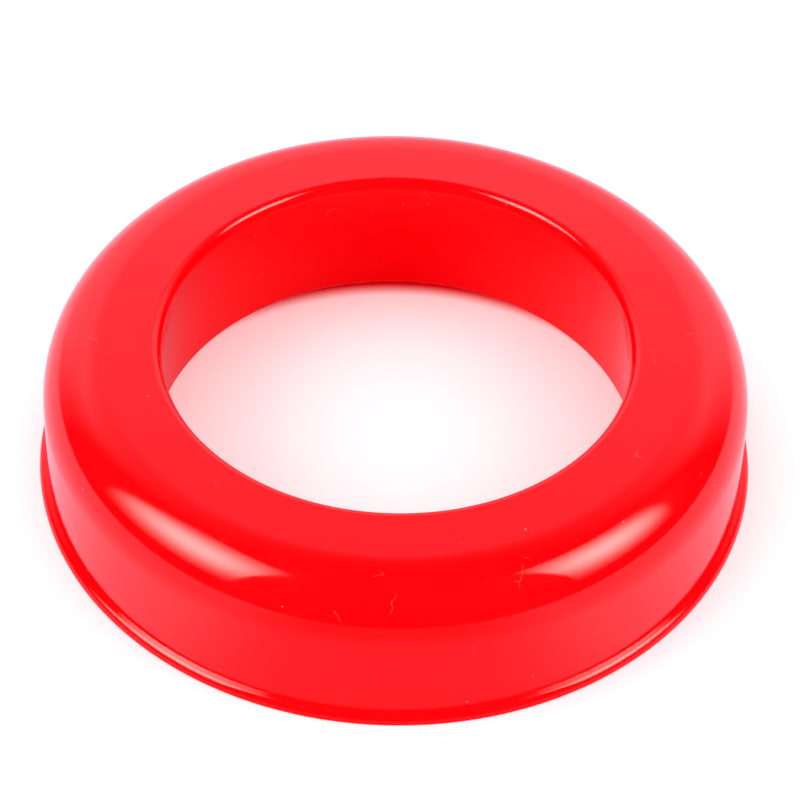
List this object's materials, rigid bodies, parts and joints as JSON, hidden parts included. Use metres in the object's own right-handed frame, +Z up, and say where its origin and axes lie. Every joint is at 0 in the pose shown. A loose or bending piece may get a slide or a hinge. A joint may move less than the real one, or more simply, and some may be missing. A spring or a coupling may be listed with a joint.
{
  "type": "flanged machine ring",
  "caption": "Hollow moulded plastic ring with a flat top, large rounded shoulder, plain skirt, thin foot flange, tapered through bore and open underside.",
  "frame": {"origin": "centre of the foot plane, the underside of the flange", "axes": "+Z up along the ring's axis, from the foot flange to the flat top; X and Y are alike, because the ring is a body of revolution"},
  "size_m": [0.1, 0.1, 0.0213],
  "materials": {
    "red_plastic": "high-gloss injection-moulded plastic, coloured right through"
  },
  "bodies": {
    "root": {"flanged_ring": "red_plastic"}
  },
  "joints": []
}
